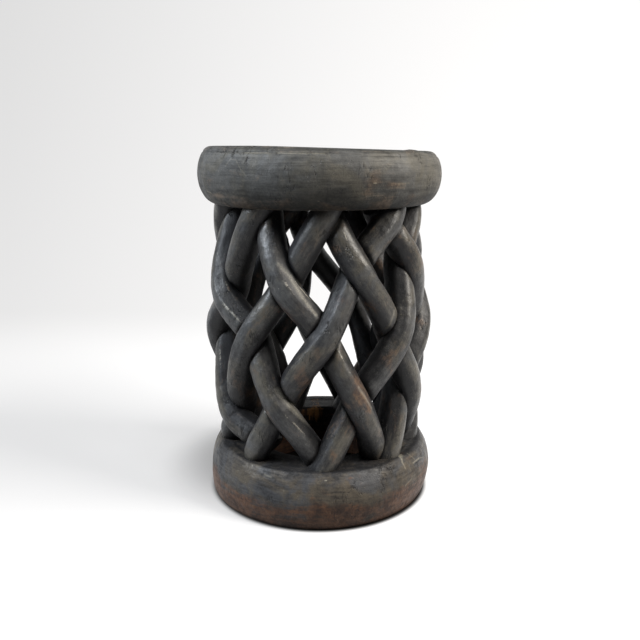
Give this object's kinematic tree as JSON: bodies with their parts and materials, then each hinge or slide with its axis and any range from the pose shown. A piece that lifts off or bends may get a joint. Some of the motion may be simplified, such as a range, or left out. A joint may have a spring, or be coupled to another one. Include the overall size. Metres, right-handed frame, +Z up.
{
  "type": "carved stool",
  "caption": "Round wooden stool: a thick, slightly dished seat carried on an open ring base by a barrel of woven, interlaced strands, all carved and stained near black.",
  "frame": {"origin": "on the floor, at the middle of the stool's box, under the centre of the seat", "axes": "+Z up along the stool's height; -Y towards the side that the picture shows; +X to the right of that side"},
  "size_m": [0.302, 0.302, 0.4455],
  "materials": {
    "seat_wood": "near-black stain, rubbed to a low sheen, with fine adze and sanding marks",
    "strand_wood": "near-black stain, burnished on the outer faces, worn grey and brown along the ridges",
    "base_wood": "near-black stain worn to reddish brown low down, with light scuffs"
  },
  "bodies": {
    "root": {"seat": "seat_wood", "base_ring": "base_wood", "right_strand_1": "strand_wood", "right_strand_2": "strand_wood", "right_strand_3": "strand_wood", "right_strand_4": "strand_wood", "right_strand_5": "strand_wood", "right_strand_6": "strand_wood", "right_strand_7": "strand_wood", "right_strand_8": "strand_wood", "right_strand_9": "strand_wood", "left_strand_1": "strand_wood", "left_strand_2": "strand_wood", "left_strand_3": "strand_wood", "left_strand_4": "strand_wood", "left_strand_5": "strand_wood", "left_strand_6": "strand_wood", "left_strand_7": "strand_wood", "left_strand_8": "strand_wood", "left_strand_9": "strand_wood"}
  },
  "joints": []
}
